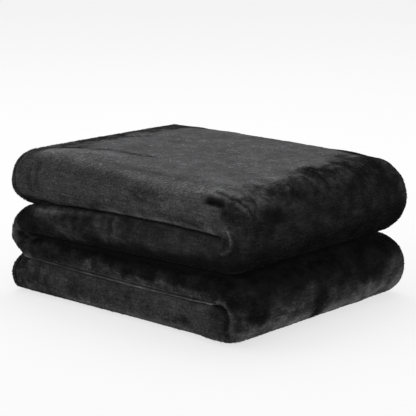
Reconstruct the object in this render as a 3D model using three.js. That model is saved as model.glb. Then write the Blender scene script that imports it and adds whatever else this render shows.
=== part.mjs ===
import * as THREE from "three";

// A plush throw blanket, folded into a block as it is put away on a shelf.
// Millimetres, Z up. The origin is on the floor under the middle of the block,
// X runs along its long side and the side that faces the viewer looks along -Y.
//
// The cloth is one piece. It is folded in half, and that double cloth is folded
// in thirds into a long strip of six plies. Across the strip the cloth makes a
// spiral: a core flap lies on the base, and a cover flap is turned over the core
// from the back and ends in a thin lip at the front. The strip is then folded
// back and forth into four runs, one on top of the other, numbered from the top.

// Driving sizes.
const BLOCK_LENGTH = 316;
const BLOCK_WIDTH = 257;
const STRIP_THICKNESS = 36; // six plies, before the block settles
const GAP = 0.6; // air between neighbouring layers
const SLIT = 0.5; // air between the two plies of the double cloth
const LIP_THICKNESS = 2.2; // the cover flap's edge, pressed thin at the front
const EASE_IN = 70; // over this distance the front roll comes down to even layers
const RIGHT_FOLD_REACH = 38.4; // how far a fold stands out past the runs that it joins
const LEFT_FOLD_REACH = 26.2;
const FOLD_FULLNESS = 1.05; // a fold's outline: 1 is an ellipse, more is slimmer, less is squarer
const FLOOR_FULLNESS = 0.8; // the same where the lowest fold lies on the floor
const UPPER_END_INSET = 8.5; // how far the strip's upper end stays behind the left fold
const LOWER_END_INSET = 6.5; // and its lower end
const FRONT_ROLL_SHARE = 0.61; // depth of the round front side, as a share of a run's height
const END_FULLNESS = 1; // the front side's outline at the strip's two ends, on the cover side
const END_ROUNDING_LENGTH = 60; // over this distance it changes to that of the run
const CROWN = 3.4; // how much the middle of the top stands above its edges
const END_LENGTH = 40; // over this distance the strip's upper end
const END_FALL = 1.6; // drops on its top
const END_SAG = 3; // and sags on its underside

// Heights of the layers above the floor at the four corners of the block, and how much more
// they swell in the middle of its length.
const LEVELS = [
  { name: "floor", frontLeft: 0, frontRight: 0, backLeft: 0, backRight: 0, swell: 0 },
  { name: "top of run 4", frontLeft: 38, frontRight: 34, backLeft: 36, backRight: 32, swell: -3 },
  { name: "top of run 3", frontLeft: 60, frontRight: 64, backLeft: 60, backRight: 63, swell: 0 },
  { name: "top of run 2", frontLeft: 88, frontRight: 97, backLeft: 89, backRight: 101, swell: 8 },
  { name: "top of run 1", frontLeft: 143.5, frontRight: 138, backLeft: 141, backRight: 138, swell: 0 },
];

// How far the round front side of each run stands out at its left end, middle and right end,
// whether the cover flap's lip shows there (1) or stays behind the round side (0), and how full
// the round side is on the base side and on the cover side: 1 is an ellipse, less is squarer.
const FRONTS = [
  { run: 1, left: -1, middle: 1, right: 0, lipShown: 0, baseFullness: 0.85, coverFullness: 0.45 },
  { run: 2, left: -2, middle: 0, right: -3, lipShown: 0, baseFullness: 0.85, coverFullness: 0.45 },
  { run: 3, left: 0, middle: -1, right: 2, lipShown: 1, baseFullness: 0.85, coverFullness: 0.35 },
  { run: 4, left: 0, middle: -2, right: 0, lipShown: 0, baseFullness: 0.6, coverFullness: 0.35 },
];
const LIP_INSET_SHOWN = 0.1; // shares of the round side's depth
const LIP_INSET_HIDDEN = 0.9;

// Where the outer half of the layers of a right-hand fold stands out as a rim, with a recess
// inside it, round the end of the run under it. It fades out over a distance to the left.
const RIMS = [
  { fold: 1, rim: 1, recess: 3, fadesOver: 20 },
  { fold: 3, rim: 2, recess: 4, fadesOver: 16 },
];

// Steps of the mesh.
const RUN_STEPS = 5;
const END_STEPS = 2;
const FOLD_STEPS = 8;
const ACROSS_STEPS = 4;
const ROLL_STEPS = 8;
const SLIT_ROLL_STEPS = 4;

const HALF = STRIP_THICKNESS / 2;
const LAYER = STRIP_THICKNESS / 3;
const PITCH = STRIP_THICKNESS + GAP; // from one run to the next, before it settles
const LEFT = -BLOCK_LENGTH / 2;
const RIGHT = BLOCK_LENGTH / 2;
const FRONT = -BLOCK_WIDTH / 2;
const BACK = BLOCK_WIDTH / 2;

const { clamp, lerp, smoothstep } = THREE.MathUtils;
const range = (count) => Array.from({ length: count + 1 }, (_, i) => i / count);
const reversed = (list) => [...list].reverse();

// Settles a point of the evenly stacked strip to the heights in LEVELS.
function settledHeight(x, y, evenHeight) {
  const u = clamp((x - LEFT) / BLOCK_LENGTH, 0, 1);
  const v = clamp((y - FRONT) / BLOCK_WIDTH, 0, 1);
  const heights = LEVELS.map((level) => {
    const front = lerp(level.frontLeft, level.frontRight, u);
    const back = lerp(level.backLeft, level.backRight, u);
    return lerp(front, back, v) + level.swell * 4 * u * (1 - u);
  });
  const run = clamp(Math.floor((evenHeight + GAP / 2) / PITCH), 0, 3);
  const nearEnd = clamp(1 - (x - LEFT) / END_LENGTH, 0, 1) ** 2;
  if (run === 3) heights[3] -= END_SAG * nearEnd;
  heights[4] += CROWN * (1 - (2 * u - 1) ** 4) * (1 - (2 * v - 1) ** 4) - END_FALL * nearEnd;
  const share = (evenHeight + GAP / 2) / PITCH - run;
  const floorGap = GAP / 2 / PITCH; // the lowest face lies on the floor itself
  const settled = lerp(heights[run], heights[run + 1], share);
  return run === 0 ? (heights[1] * (share - floorGap)) / (1 - floorGap) : settled;
}

// The stations along the strip. Each has its place on the middle of the strip in the
// XZ plane, the direction of the strip's cover side, its run and how far round a fold it is.
function stationsAlongStrip() {
  const leftCentre = LEFT + LEFT_FOLD_REACH;
  const rightCentre = RIGHT - RIGHT_FOLD_REACH;
  const between = range(RUN_STEPS).map((t) => lerp(leftCentre, rightCentre, t));
  const overhang = (inset) =>
    range(END_STEPS).slice(0, -1).map((t) => lerp(LEFT + inset, leftCentre, t));
  const stations = [];

  const addRun = (run, xs) => {
    const cover = run % 2 === 1 ? -1 : 1;
    const z = (4 - run) * PITCH + HALF;
    for (const x of xs) stations.push({ x, z, cover, run });
  };
  const addFold = (fold) => {
    const onRight = fold % 2 === 1;
    const z = (4 - fold) * PITCH - GAP / 2;
    for (const turn of range(FOLD_STEPS).slice(1, -1))
      stations.push({
        x: onRight ? rightCentre : leftCentre,
        z,
        reach: onRight ? RIGHT_FOLD_REACH : -LEFT_FOLD_REACH,
        turn,
        run: fold + turn,
      });
  };

  addRun(1, [...overhang(UPPER_END_INSET), ...between]);
  addFold(1);
  addRun(2, reversed(between));
  addFold(2);
  addRun(3, between);
  addFold(3);
  addRun(4, reversed([...overhang(LOWER_END_INSET), ...between]));
  return stations;
}

// The even place in the XZ plane of a point that lies offset from the middle of the strip,
// towards its cover side, at one station.
function evenPlace(station, offset) {
  if (!station.reach) return { x: station.x, z: station.z + station.cover * offset };
  const inside = station.reach > 0 ? -offset : offset;
  const radius = PITCH / 2 + inside;
  const angle = station.turn * Math.PI;
  const outward = Math.sin(angle) ** (station.run > 3.5 ? FLOOR_FULLNESS : FOLD_FULLNESS);
  return {
    x: station.x + (station.reach * radius * outward) / (STRIP_THICKNESS + GAP / 2),
    z: station.z + radius * Math.cos(angle),
  };
}

// How high the strip stands at a station once settled.
function settledThickness(station) {
  const a = evenPlace(station, -HALF);
  const b = evenPlace(station, HALF);
  const rise = settledHeight(b.x, FRONT, b.z) - settledHeight(a.x, FRONT, a.z);
  return Math.hypot(rise, b.x - a.x);
}

// A value of the FRONTS table at a station.
function frontValue(station, valueOf) {
  const upper = FRONTS[Math.floor(station.run) - 1];
  const lower = FRONTS[Math.ceil(station.run) - 1];
  return lerp(valueOf(upper), valueOf(lower), station.run % 1);
}

// The outline of the cloth across the strip, as [y, offset] pairs. It follows one side of
// the double cloth out along the spiral, turns round its end and comes back in the slit.
function outlineAcross(rollDepth, lipShown, baseFullness, coverFullness) {
  const rollStart = FRONT + rollDepth;
  const bendStart = BACK - HALF;
  const ys = range(ACROSS_STEPS).map((t) => lerp(rollStart, bendStart, t));
  const coreYs = [...ys.slice(0, -1), bendStart - 4];
  const lipOut = Math.max(0, 2 * lipShown - 1); // the lip comes out once the roll makes room
  const lipY = FRONT + lerp(LIP_INSET_HIDDEN, LIP_INSET_SHOWN, lipOut) * rollDepth;
  const lipNose = Math.min(2, 0.5 * (rollStart - lipY));
  const underLip = HALF - LIP_THICKNESS - GAP;
  const rollTop = lerp(HALF, underLip, Math.min(1, 2 * lipShown));
  const rollMiddle = (underLip - HALF) / 2;

  const frontShare = (y) => 1 - smoothstep(y, rollStart, rollStart + EASE_IN);
  const baseTop = (y) => lerp(-LAYER / 2, rollMiddle, frontShare(y));
  const coreTop = (y) => lerp(LAYER / 2, HALF - LIP_THICKNESS - GAP / 2, frontShare(y));
  const baseMiddle = (y) => (baseTop(y) - HALF) / 2;
  const coreMiddle = (y) => (baseTop(y) + coreTop(y)) / 2;
  const coverMiddle = (y) => (coreTop(y) + HALF) / 2;

  const along = (list, height, shift) => list.map((y) => [y, height(y) + shift]);
  const bend = (radius, steps) =>
    range(steps).slice(1, -1).map((t) => [
      bendStart + radius * Math.sin(t * Math.PI),
      -radius * Math.cos(t * Math.PI),
    ]);
  // The round front side, from the base side up.
  const roll = (depth, low, high, steps, lowFullness, highFullness) =>
    range(steps).slice(1, -1).map((t) => [
      rollStart - depth * Math.sin(t * Math.PI) ** (t < 0.5 ? lowFullness : highFullness),
      (low + high - (high - low) * Math.cos(t * Math.PI)) / 2,
    ]);

  // One side of the slit between the two plies, from the core's end to the cover's lip.
  const slitSide = (side) => {
    const shift = (side * SLIT) / 2;
    const low = baseMiddle(rollStart) - shift;
    const high = coreMiddle(rollStart) + shift;
    return [
      ...along(reversed(coreYs), coreMiddle, shift),
      ...reversed(roll(rollDepth / 2 + shift, low, high, SLIT_ROLL_STEPS, 1, 1)),
      ...along(ys, baseMiddle, -shift),
      ...bend(HALF - LAYER / 2 + shift, SLIT_ROLL_STEPS),
      ...along(reversed(ys), coverMiddle, shift),
    ];
  };

  const coreEnd = bendStart - 1.5;
  return [
    [lipY, HALF - LIP_THICKNESS * 0.3],
    [lipY + lipNose, HALF],
    ...along(ys, () => HALF, 0),
    ...reversed(bend(HALF, ROLL_STEPS)),
    ...along(reversed(ys), () => -HALF, 0),
    ...roll(rollDepth, -HALF, rollTop, ROLL_STEPS, baseFullness, coverFullness),
    ...along(coreYs, coreTop, -GAP / 2),
    [coreEnd, LAYER / 3],
    ...slitSide(1),
    [lerp(lipY, rollStart, 0.6), coverMiddle(rollStart)],
    ...reversed(slitSide(-1)),
    [coreEnd, -LAYER / 3],
    ...along(reversed(coreYs), baseTop, GAP / 2),
    [rollStart - 2, rollMiddle],
    ...along(ys, baseTop, -GAP / 2),
    ...bend(LAYER / 2 + GAP / 2, SLIT_ROLL_STEPS),
    ...along(reversed(ys), coreTop, GAP / 2),
    [lipY + lipNose, HALF - LIP_THICKNESS],
  ];
}

// How far a point near the front stands out, or is drawn in, from the even front.
function frontShift(station, y, offset, rollDepth) {
  const nearness = 1 - smoothstep(y, FRONT, FRONT + 2.2 * rollDepth);
  const u = clamp((station.x - LEFT) / BLOCK_LENGTH, 0, 1);
  const standOut = frontValue(station, (row) =>
    u < 0.5 ? lerp(row.left, row.middle, 2 * u) : lerp(row.middle, row.right, 2 * u - 1),
  );
  const skin = 1 - smoothstep(y, FRONT, FRONT + 0.5 * rollDepth);
  return -nearness * standOut - skin * rimShift(station, offset);
}

// The rim of the outer double ply and the recess inside it, at the end of a right-hand fold.
function rimShift(station, offset) {
  const row = RIMS.find(({ fold }) => station.run > fold && station.run <= fold + 1);
  if (!row) return 0;
  const pastFold = Math.max(0, RIGHT - RIGHT_FOLD_REACH - station.x);
  const strength =
    smoothstep(station.run - row.fold, 0.3, 0.8) * (1 - smoothstep(pastFold, 0, row.fadesOver));
  const inside = smoothstep(offset, -0.4 * LAYER, 0.3 * LAYER);
  return strength * lerp(row.rim, -row.recess, inside);
}

// Fills one of the strip's two cut ends, a ring of points that starts at first.
function closeEnd(positions, faces, first, count) {
  const ring = Array.from({ length: count }, (_, i) => {
    const at = 3 * (first + i);
    return new THREE.Vector2(positions[at + 1], positions[at + 2]);
  });
  for (const [a, b, c] of THREE.ShapeUtils.triangulateShape(ring, []))
    faces.push(first + a, first + c, first + b);
}

function buildBlanket() {
  const positions = [];
  const faces = [];
  const stations = stationsAlongStrip();
  let count = 0;

  stations.forEach((station, i) => {
    const rollDepth = clamp(FRONT_ROLL_SHARE * settledThickness(station), 14, 34);
    const lipShown = frontValue(station, (row) => row.lipShown);
    const baseFullness = frontValue(station, (row) => row.baseFullness);
    const coverFullness = frontValue(station, (row) => row.coverFullness);
    const fromEnd = station.run === 1 || station.run === 4 ? station.x - LEFT : BLOCK_LENGTH;
    const square = smoothstep(fromEnd, 0, END_ROUNDING_LENGTH);
    const fullness = lerp(END_FULLNESS, coverFullness, square);
    const outline = outlineAcross(rollDepth, lipShown, baseFullness, fullness);
    count = outline.length;
    for (const [y, offset] of outline) {
      const shiftedY = y + frontShift(station, y, offset, rollDepth);
      const even = evenPlace(station, offset);
      positions.push(even.x, shiftedY, settledHeight(even.x, shiftedY, even.z));
    }
    if (i === 0) return;
    for (let j = 0; j < count; j++) {
      const a = (i - 1) * count + j;
      const b = (i - 1) * count + ((j + 1) % count);
      faces.push(a, b, b + count, a, b + count, a + count);
    }
  });

  closeEnd(positions, faces, 0, count);
  closeEnd(positions, faces, (stations.length - 1) * count, count);

  const geometry = new THREE.BufferGeometry();
  geometry.setAttribute("position", new THREE.Float32BufferAttribute(positions, 3));
  geometry.setIndex(faces);
  geometry.computeVertexNormals();
  return geometry;
}

const plush = new THREE.MeshStandardMaterial({ color: 0x242424, roughness: 0.95, metalness: 0 });
const blanket = new THREE.Mesh(buildBlanket(), plush);
blanket.name = "blanket";

const part = new THREE.Group();
part.add(blanket);
export default part;
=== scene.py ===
import bpy
import math
import numpy as np
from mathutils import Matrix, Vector, noise
from mathutils.bvhtree import BVHTree


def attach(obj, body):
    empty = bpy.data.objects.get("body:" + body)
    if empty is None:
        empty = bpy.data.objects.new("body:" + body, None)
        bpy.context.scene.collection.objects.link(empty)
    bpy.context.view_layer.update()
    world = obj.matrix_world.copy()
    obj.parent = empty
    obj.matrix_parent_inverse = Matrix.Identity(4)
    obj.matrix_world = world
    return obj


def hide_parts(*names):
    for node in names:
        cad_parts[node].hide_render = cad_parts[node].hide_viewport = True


# The looks of a plush throw blanket that is folded into a block. Blender works in
# metres. The cloth's own tables are in millimetres, as a maker would write them, and
# turn into metres when the mesh is made.

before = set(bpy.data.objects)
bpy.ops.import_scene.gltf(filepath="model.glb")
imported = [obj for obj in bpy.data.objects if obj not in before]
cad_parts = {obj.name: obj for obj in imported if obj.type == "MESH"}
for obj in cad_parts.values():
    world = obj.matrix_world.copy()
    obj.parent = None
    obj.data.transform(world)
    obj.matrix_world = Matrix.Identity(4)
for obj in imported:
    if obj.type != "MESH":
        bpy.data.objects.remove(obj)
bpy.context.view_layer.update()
MM = 0.001
CM = 0.01

# Sizes of the folded cloth, in millimetres. They are those of the part's source, but for the
# lip and the round sides by it, the two cut ends, the rims at the right, which are relief
# here, and the heights of the layers, which are fitted closer to the photo.
BLOCK_LENGTH = 316
BLOCK_WIDTH = 257
STRIP_THICKNESS = 36
GAP = 0.6
SLIT = 0.5
LIP_THICKNESS = 1.5
LIP_NOSE = 2.0
EASE_IN = 70
RIGHT_FOLD_REACH = 38.4
LEFT_FOLD_REACH = 26.2
FOLD_FULLNESS = 1.05
FLOOR_FULLNESS = 0.8
UPPER_END_INSET = 7.0
LOWER_END_INSET = 5.0
FRONT_ROLL_SHARE = 0.61
SHALLOWEST_ROLL = 14
DEEPEST_ROLL = 34
STAND_OUT_FADE = 2.2
UPPER_END_FULLNESS = 1.8
LOWER_END_FULLNESS = 1.35
END_ROUNDING_LENGTH = 60
CROWN = 3.4
END_LENGTH = 40
END_FALL = 1.6
END_SAG = 11
SAG_LENGTH = 26
SAG_SHARPNESS = 1.6
LIP_INSET_SHOWN = 0.0
LIP_INSET_HIDDEN = 0.9
CORE_END_ROUNDING = 4
CORE_END_INSET = 1.5
GAP_INTO_ROLL = 2
SLIT_END_IN_LIP = 0.6

# The hem at the strip's two ends: rounded ply edges and a sewn line behind them.
PLY_EDGE_RADIUS = 2.2
MOST_DRAWN_IN = 0.4
HEM_WIDTH = 5.0
HEM_GROOVE_DEPTH = 0.9
HEM_GROOVE_WIDTH = 0.8

# Heights of the layers at the block's corners (front left, front right, back left, back
# right), and how much more they swell in the middle of its length.
LEVELS = [
    ("floor", 0, 0, 0, 0, 0),
    ("top of run 4", 40.2, 38, 36, 32, -3.8),
    ("top of run 3", 58.8, 63.2, 60, 63, 0),
    ("top of run 2", 88, 94.8, 89, 101, 7.6),
    ("top of run 1", 143.5, 138, 140.8, 138, 0),
]

# The rows of LEVELS under and over the uppermost run.
UNDER_RUN_1 = 3
OVER_RUN_1 = 4

# How far the front of each run stands out (left, middle, right), whether its lip shows, and
# how full its round side is on the base side and on the cover side.
FRONTS = [
    ("run 1", -1, 1, 0, 0, 0.85, 0.45),
    ("run 2", -2, 0, -3, 0, 0.85, 0.45),
    ("run 3", 0, -1, 2, 1, 0.85, 0.2),
    ("run 4", 0, -2, 0, 0, 0.6, 0.14),
]
STAND_OUT = slice(1, 4)
LIP_SHOWN = 4
BASE_FULLNESS = 5
COVER_FULLNESS = 6
RUNS = len(FRONTS)

# Steps of the mesh.
STEP_ALONG = 3.6
FOLD_STEPS = 30
END_STEPS = 12
BASE_ACROSS_STEPS = 62
COVER_ACROSS_STEPS = 26
INNER_ACROSS_STEPS = 5
OUTER_CROWDING = 0.5
ROLL_STEPS = 36
BACK_STEPS = 16
SLIT_ROLL_STEPS = 5
EDGE_STEPS = 4
LIP_POINTS = 2
LINE_STEP = 2.0

HALF = STRIP_THICKNESS / 2
LAYER = STRIP_THICKNESS / 3
PITCH = STRIP_THICKNESS + GAP
LEFT = -BLOCK_LENGTH / 2
RIGHT = BLOCK_LENGTH / 2
FRONT = -BLOCK_WIDTH / 2
BACK = BLOCK_WIDTH / 2
TINY = 1e-9
FAR = 99.0
SHORTEST_SUM = 0.3
THINNEST_PLY = 0.05


def smoothstep(value, low, high):
    t = np.clip((value - low) / (high - low), 0, 1)
    return t * t * (3 - 2 * t)


def lerp(a, b, t):
    return a + (b - a) * t


# Settles points of the evenly stacked strip to the heights in LEVELS.
def settled_height(x, y, even_height):
    u = np.clip((x - LEFT) / BLOCK_LENGTH, 0, 1)
    v = np.clip((y - FRONT) / BLOCK_WIDTH, 0, 1)
    heights = []
    for _, front_left, front_right, back_left, back_right, swell in LEVELS:
        front = lerp(front_left, front_right, u)
        back = lerp(back_left, back_right, u)
        heights.append(lerp(front, back, v) + swell * 4 * u * (1 - u))
    row_under = np.clip(np.floor((even_height + GAP / 2) / PITCH), 0, RUNS - 1).astype(int)
    near_end = np.clip(1 - (x - LEFT) / END_LENGTH, 0, 1) ** 2
    sag = END_SAG * np.clip(1 - (x - LEFT) / SAG_LENGTH, 0, 1) ** SAG_SHARPNESS
    crown = CROWN * (1 - (2 * u - 1) ** 4) * (1 - (2 * v - 1) ** 4)
    heights[UNDER_RUN_1] = heights[UNDER_RUN_1] - np.where(row_under == UNDER_RUN_1, sag, 0)
    heights[OVER_RUN_1] = heights[OVER_RUN_1] + crown - END_FALL * near_end
    heights = np.array([np.broadcast_to(h, np.shape(even_height)) for h in heights])
    share = (even_height + GAP / 2) / PITCH - row_under
    floor_gap = GAP / 2 / PITCH
    share = np.where(row_under == 0, (share - floor_gap) / (1 - floor_gap), share)
    low = np.take_along_axis(heights, row_under[None], 0)[0]
    high = np.take_along_axis(heights, row_under[None] + 1, 0)[0]
    return lerp(low, high, share)


# The stations along the strip, from its upper end to its lower end. "edge" is how far
# round the rounded ply edge a station at a cut end is, in quarter turns, and "from_end"
# is its distance from the nearer cut end.
def stations_along_strip():
    left_centre = LEFT + LEFT_FOLD_REACH
    right_centre = RIGHT - RIGHT_FOLD_REACH
    free_ends = {1: LEFT + UPPER_END_INSET, 4: LEFT + LOWER_END_INSET}
    steps = round((right_centre - left_centre) / STEP_ALONG)
    between = list(np.linspace(left_centre, right_centre, steps + 1))
    stations = []

    def overhang(run):
        start = free_ends[run] + PLY_EDGE_RADIUS
        return list(np.linspace(start, left_centre, END_STEPS + 1)[:-1])

    def add_run(run, xs):
        cover = -1 if run % 2 == 1 else 1
        z = (RUNS - run) * PITCH + HALF
        for x in xs:
            from_end = x - free_ends[run] if run in free_ends else BLOCK_LENGTH
            stations.append({
                "x": x, "z": z, "cover": cover, "run": run, "edge": 0.0, "from_end": from_end,
            })

    def add_edge(run, turns):
        for turn in turns:
            add_run(run, [free_ends[run] + PLY_EDGE_RADIUS * (1 - math.sin(turn * math.pi / 2))])
            stations[-1]["edge"] = turn

    def add_fold(fold):
        on_right = fold % 2 == 1
        for turn in np.linspace(0, 1, FOLD_STEPS + 1)[1:-1]:
            stations.append({
                "x": right_centre if on_right else left_centre,
                "z": (RUNS - fold) * PITCH - GAP / 2,
                "reach": RIGHT_FOLD_REACH if on_right else -LEFT_FOLD_REACH,
                "turn": turn,
                "run": fold + turn,
                "edge": 0.0,
                "from_end": BLOCK_LENGTH,
            })

    edge_turns = [(i + 1) / EDGE_STEPS for i in range(EDGE_STEPS)]
    add_edge(1, edge_turns[::-1])
    add_run(1, overhang(1) + between)
    add_fold(1)
    add_run(2, between[::-1])
    add_fold(2)
    add_run(3, between)
    add_fold(3)
    add_run(4, between[::-1] + overhang(4)[::-1])
    add_edge(4, edge_turns)
    return stations


# The even place in the XZ plane of points that lie offset from the middle of the strip. The
# lower half of the last fold lies on the floor, and is squarer there.
def even_place(station, offset):
    if "reach" not in station:
        return np.full_like(offset, station["x"]), station["z"] + station["cover"] * offset
    inside = -offset if station["reach"] > 0 else offset
    radius = PITCH / 2 + inside
    angle = station["turn"] * math.pi
    on_floor = station["run"] > RUNS - 0.5
    outward = math.sin(angle) ** (FLOOR_FULLNESS if on_floor else FOLD_FULLNESS)
    x = station["x"] + station["reach"] * radius * outward / (STRIP_THICKNESS + GAP / 2)
    return x, station["z"] + radius * math.cos(angle)


# How high the strip stands at a station once it has settled.
def settled_thickness(station):
    offset = np.array([-HALF, HALF])
    x, z = even_place(station, offset)
    height = settled_height(x, np.array([FRONT, FRONT]), z)
    return math.hypot(height[1] - height[0], x[1] - x[0])


# A column of the FRONTS table at a station.
def front_value(station, column):
    upper = np.array(FRONTS[math.floor(station["run"]) - 1][column])
    lower = np.array(FRONTS[math.ceil(station["run"]) - 1][column])
    return lerp(upper, lower, station["run"] % 1)


# Places between two ends that lie closer together near both.
def crowded(start, end, steps):
    even = np.linspace(0, 1, steps + 1)
    return lerp(start, end, even - OUTER_CROWDING * np.sin(2 * math.pi * even) / (2 * math.pi))


# The outline of the cloth across the strip, as rows of y and offset. It follows one side
# of the double cloth out along the spiral, turns round its end and comes back in the slit.
def outline_across(roll_depth, lip_shown, base_fullness, cover_fullness):
    roll_start = FRONT + roll_depth
    bend_start = BACK - HALF
    base = crowded(roll_start, bend_start, BASE_ACROSS_STEPS)
    cover = crowded(roll_start, bend_start, COVER_ACROSS_STEPS)
    inner = np.linspace(roll_start, bend_start, INNER_ACROSS_STEPS + 1)
    core = np.append(inner[:-1], bend_start - CORE_END_ROUNDING)
    core_end = bend_start - CORE_END_INSET
    lip_out = max(0.0, 2 * lip_shown - 1)
    lip_y = FRONT + lerp(LIP_INSET_HIDDEN, LIP_INSET_SHOWN, lip_out) * roll_depth
    lip_nose = min(LIP_NOSE, 0.5 * (roll_start - lip_y))
    under_lip = HALF - LIP_THICKNESS - GAP
    roll_top = lerp(HALF, under_lip, min(1.0, 2 * lip_shown))
    roll_middle = (under_lip - HALF) / 2

    def front_share(y):
        return 1 - smoothstep(y, roll_start, roll_start + EASE_IN)

    def base_top(y):
        return lerp(-LAYER / 2, roll_middle, front_share(y))

    def core_top(y):
        return lerp(LAYER / 2, HALF - LIP_THICKNESS - GAP / 2, front_share(y))

    def base_middle(y):
        return (base_top(y) - HALF) / 2

    def core_middle(y):
        return (base_top(y) + core_top(y)) / 2

    def cover_middle(y):
        return (core_top(y) + HALF) / 2

    def level(height):
        return lambda y: np.full_like(y, height)

    def along(ys, height, shift=0.0):
        return np.stack([ys, height(ys) + shift], 1)

    def bend(radius, steps):
        angle = np.linspace(0, math.pi, steps + 1)[1:-1]
        return np.stack([bend_start + radius * np.sin(angle), -radius * np.cos(angle)], 1)

    # The round front side, from the base side up.
    def roll(depth, low, high, steps, low_fullness, high_fullness):
        angle = np.linspace(0, math.pi, steps + 1)[1:-1]
        fullness = np.where(angle < math.pi / 2, low_fullness, high_fullness)
        out = roll_start - depth * np.sin(angle) ** fullness
        return np.stack([out, (low + high - (high - low) * np.cos(angle)) / 2], 1)

    # One side of the slit between the two plies, from the core's end to the cover's lip.
    def slit_side(side):
        shift = side * SLIT / 2
        low = base_middle(roll_start) - shift
        high = core_middle(roll_start) + shift
        return np.concatenate([
            along(core[::-1], core_middle, shift),
            roll(roll_depth / 2 + shift, low, high, SLIT_ROLL_STEPS, 1, 1)[::-1],
            along(inner, base_middle, -shift),
            bend(HALF - LAYER / 2 + shift, SLIT_ROLL_STEPS),
            along(inner[::-1], cover_middle, shift),
        ])

    # A point of the lip's rounded nose, by its shares of the nose's length and thickness.
    def nose(length_share, depth_share):
        return [lip_y + length_share * lip_nose, HALF - depth_share * LIP_THICKNESS]

    return np.concatenate([
        [nose(0, 0.5), nose(0.35, 0.15), nose(1, 0)],
        along(cover, level(HALF)),
        bend(HALF, BACK_STEPS)[::-1],
        along(base[::-1], level(-HALF)),
        roll(roll_depth, -HALF, roll_top, ROLL_STEPS, base_fullness, cover_fullness),
        along(core, core_top, -GAP / 2),
        [[core_end, LAYER / 3]],
        slit_side(1),
        [[lerp(lip_y, roll_start, SLIT_END_IN_LIP), cover_middle(roll_start)]],
        slit_side(-1)[::-1],
        [[core_end, -LAYER / 3]],
        along(core[::-1], base_top, GAP / 2),
        [[roll_start - GAP_INTO_ROLL, roll_middle]],
        along(inner, base_top, -GAP / 2),
        bend(LAYER / 2 + GAP / 2, SLIT_ROLL_STEPS),
        along(inner[::-1], core_top, GAP / 2),
        [nose(1, 1), nose(0.35, 0.85)],
    ])


# The inward direction at each point of a closed outline, shortened at sharp corners.
def inward(outline):
    ahead = np.roll(outline, -1, 0) - outline
    behind = outline - np.roll(outline, 1, 0)
    ahead /= np.linalg.norm(ahead, axis=1)[:, None]
    behind /= np.linalg.norm(behind, axis=1)[:, None]
    along = ahead + behind
    along /= np.maximum(np.linalg.norm(along, axis=1), SHORTEST_SUM)[:, None]
    return np.stack([along[:, 1], -along[:, 0]], 1)


# How far each point of a closed outline is from the far side of its ply.
def ply_thickness(outline, directions):
    start = outline[:, None]
    ray = directions[:, None]
    a = outline[None]
    edge = (np.roll(outline, -1, 0) - outline)[None]
    across = ray[..., 0] * edge[..., 1] - ray[..., 1] * edge[..., 0]
    across = np.where(np.abs(across) < TINY, TINY, across)
    gap = a - start
    distance = (gap[..., 0] * edge[..., 1] - gap[..., 1] * edge[..., 0]) / across
    share = (gap[..., 0] * ray[..., 1] - gap[..., 1] * ray[..., 0]) / across
    met = (distance > THINNEST_PLY) & (share >= 0) & (share <= 1)
    return np.where(met, distance, FAR).min(1)


# Draws an outline in towards the cloth, for the rounded edges of the plies at a cut end.
def drawn_in(outline, distance):
    directions = inward(outline)
    most = MOST_DRAWN_IN * ply_thickness(outline, directions)
    smooth = (np.roll(most, 1) + most + np.roll(most, -1)) / 3
    return outline + np.minimum(distance, np.minimum(most, smooth))[:, None] * directions


# How far points near the front stand out from the even front.
def front_shift(station, y, roll_depth):
    nearness = 1 - smoothstep(y, FRONT, FRONT + STAND_OUT_FADE * roll_depth)
    u = min(max((station["x"] - LEFT) / BLOCK_LENGTH, 0), 1)
    return -nearness * np.interp(u, (0, 0.5, 1), front_value(station, STAND_OUT))


# The places of the cloth's points, one row for each station, their distances from the
# nearer cut end, and which of them are the cover flap's lip where it shows.
def cloth_rings():
    rings = []
    from_end = []
    lip = []
    for station in stations_along_strip():
        roll_depth = FRONT_ROLL_SHARE * settled_thickness(station)
        roll_depth = min(max(roll_depth, SHALLOWEST_ROLL), DEEPEST_ROLL)
        lip_shown = front_value(station, LIP_SHOWN)
        square = smoothstep(station["from_end"], 0, END_ROUNDING_LENGTH)
        end_fullness = UPPER_END_FULLNESS if station["run"] == 1 else LOWER_END_FULLNESS
        cover_fullness = lerp(end_fullness, front_value(station, COVER_FULLNESS), square)
        base_fullness = front_value(station, BASE_FULLNESS)
        outline = outline_across(roll_depth, lip_shown, base_fullness, cover_fullness)
        if station["edge"]:
            inset = PLY_EDGE_RADIUS * (1 - math.cos(station["edge"] * math.pi / 2))
            outline = drawn_in(outline, inset)
        y = outline[:, 0] + front_shift(station, outline[:, 0], roll_depth)
        x, z = even_place(station, outline[:, 1])
        at_lip = np.zeros(len(outline))
        # The lip's share, which takes the painted highlight and bears no pile.
        at_lip[:LIP_POINTS] = smoothstep(lip_shown, *LIP_HIGHLIGHT_BY_SHOWN)
        at_lip[-LIP_POINTS:] = at_lip[0]
        rings.append(np.stack([x, y, settled_height(x, y, z)], 1))
        from_end.append(np.full(len(outline), station["from_end"]))
        lip.append(at_lip)
    return np.array(rings), np.array(from_end), np.array(lip)


# Creases that show both in the relief and as painted shade in the pile's tone.
LONG_CREASE = [(-96, -68, 144), (-82, -57, 144), (-62, -59, 144), (-37, -57, 144), (-26, -54, 144)]
CREASE_BEHIND_DIMPLE = [(110, -112, 139), (118, -113, 137.5), (127, -114.5, 136), (137, -113, 133)]
CREASE_BESIDE_RIDGE = [(139, -113, 131), (146, -111, 126), (151, -109, 121)]

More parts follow.
